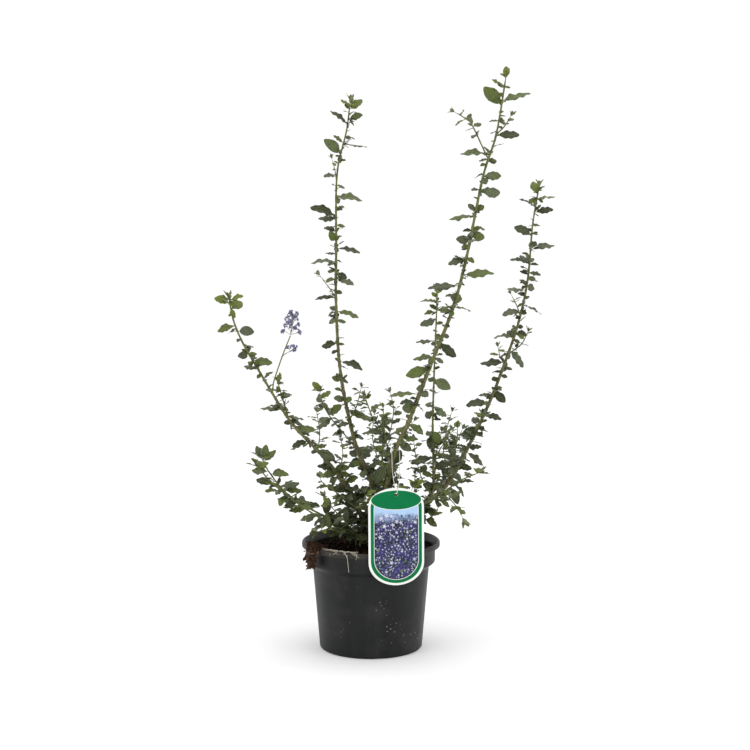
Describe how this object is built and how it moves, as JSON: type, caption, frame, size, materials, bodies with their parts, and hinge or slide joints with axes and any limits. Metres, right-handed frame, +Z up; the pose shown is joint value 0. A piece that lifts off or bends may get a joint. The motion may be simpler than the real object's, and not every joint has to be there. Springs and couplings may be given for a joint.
{
  "type": "potted shrub",
  "caption": "Young evergreen shrub with tall, leafy shoots and a small violet bloom, in a round dark nursery pot with a blank hang label.",
  "frame": {"origin": "centre of the pot's base, on the floor", "axes": "+Z up along the pot's axis, -Y towards the viewer, who sees the label, +X to the viewer's right"},
  "size_m": [0.4176, 0.2227, 0.6842],
  "materials": {
    "pot_plastic": "moulded, slightly dusty",
    "growing_mix": "damp crumbs of bark and peat",
    "root_fibre": "dry fibre",
    "label_plastic": "printed, semi-gloss",
    "loop_plastic": "clear, pale",
    "shoot": "leaves dark green and satin above, paler below",
    "floret": "matte petals"
  },
  "bodies": {
    "root": {"pot": "pot_plastic", "soil": "growing_mix", "root_clump": "root_fibre", "label": "label_plastic", "label_loop": "loop_plastic", "shoot_tall": "shoot", "shoot_upright": "shoot", "shoot_left": "shoot", "shoot_right": "shoot", "shoot_slim": "shoot", "shoot_low_left": "shoot", "shoot_front_left": "shoot", "shoot_low_right": "shoot", "flower_head": "floret", "flower_side": "floret"}
  },
  "joints": []
}
